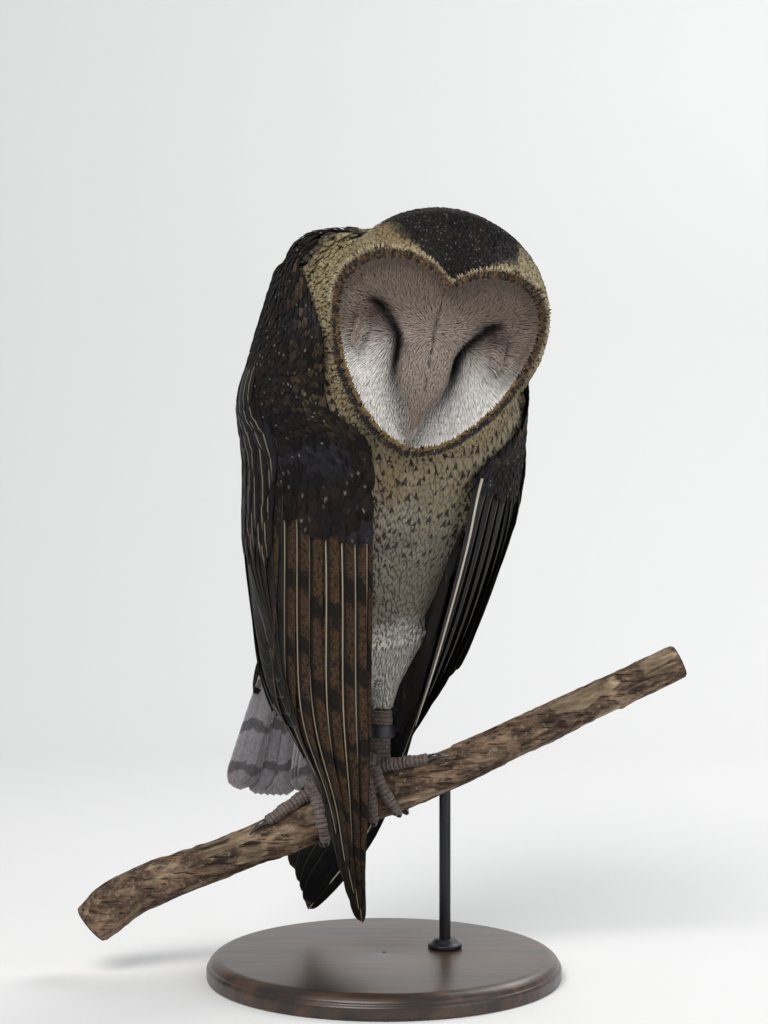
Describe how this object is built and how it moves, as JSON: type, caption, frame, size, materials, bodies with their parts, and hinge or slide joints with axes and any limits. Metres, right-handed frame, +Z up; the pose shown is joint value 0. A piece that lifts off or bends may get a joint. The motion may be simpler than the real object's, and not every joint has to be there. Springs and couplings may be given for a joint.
{
  "type": "taxidermy barn owl on a branch perch",
  "caption": "Life-size mounted barn owl dozing with closed eyes on a short cut branch: dark speckled back, heart-shaped pale face, spotted buff breast, held over a round base by a rod",
  "frame": {"origin": "middle of the underside of the stand's base", "axes": "+Z up along the bird, +X to the right and -Y towards the viewer as the bird is shown; the face looks along -Y and a little down"},
  "size_m": [0.3202, 0.2036, 0.3901],
  "materials": {
    "soot_feather": "dull sooty brown-black contour feathers with fine pale flecks",
    "buff_feather": "dull buff contour feathers with small dark spots",
    "face_feather": "pale pinkish grey facial disc, soft and matte",
    "flight_feather": "dark brown mottled flight feathers with pale shafts",
    "tail_feather": "pale grey tail feathers with dark bars",
    "down_feather": "soft cream down",
    "eyelid": "closed dark lids",
    "bill_horn": "pinkish horn, satin",
    "toe_skin": "pinkish grey scaled skin",
    "claw_horn": "black horn, polished",
    "band": "dark plain ring, satin",
    "bark": "brown weathered bark with pale worn patches",
    "stand_board": "dark stained wood, satin",
    "stand_steel": "black painted steel, satin"
  },
  "bodies": {
    "root": {"stand_base": "stand_board", "stand_collar": "stand_steel", "stand_rod": "stand_steel", "perch_branch": "bark", "head": "face_feather", "eye_right": "eyelid", "eye_left": "eyelid", "bill": "bill_horn", "neck": "buff_feather", "trunk": "buff_feather", "rump": "soot_feather", "tail": "tail_feather", "leg_band": "band", "wing_right_coverts": "soot_feather", "wing_right_secondaries": "soot_feather", "wing_right_primaries": "flight_feather", "thigh_right": "down_feather", "shank_right": "toe_skin", "foot_right": "toe_skin", "claw_right_inner": "claw_horn", "claw_right_middle": "claw_horn", "claw_right_outer": "claw_horn", "claw_right_rear": "claw_horn", "wing_left_coverts": "soot_feather", "wing_left_secondaries": "soot_feather", "wing_left_primaries": "flight_feather", "thigh_left": "down_feather", "shank_left": "toe_skin", "foot_left": "toe_skin", "claw_left_inner": "claw_horn", "claw_left_middle": "claw_horn", "claw_left_outer": "claw_horn", "claw_left_rear": "claw_horn"}
  },
  "joints": []
}
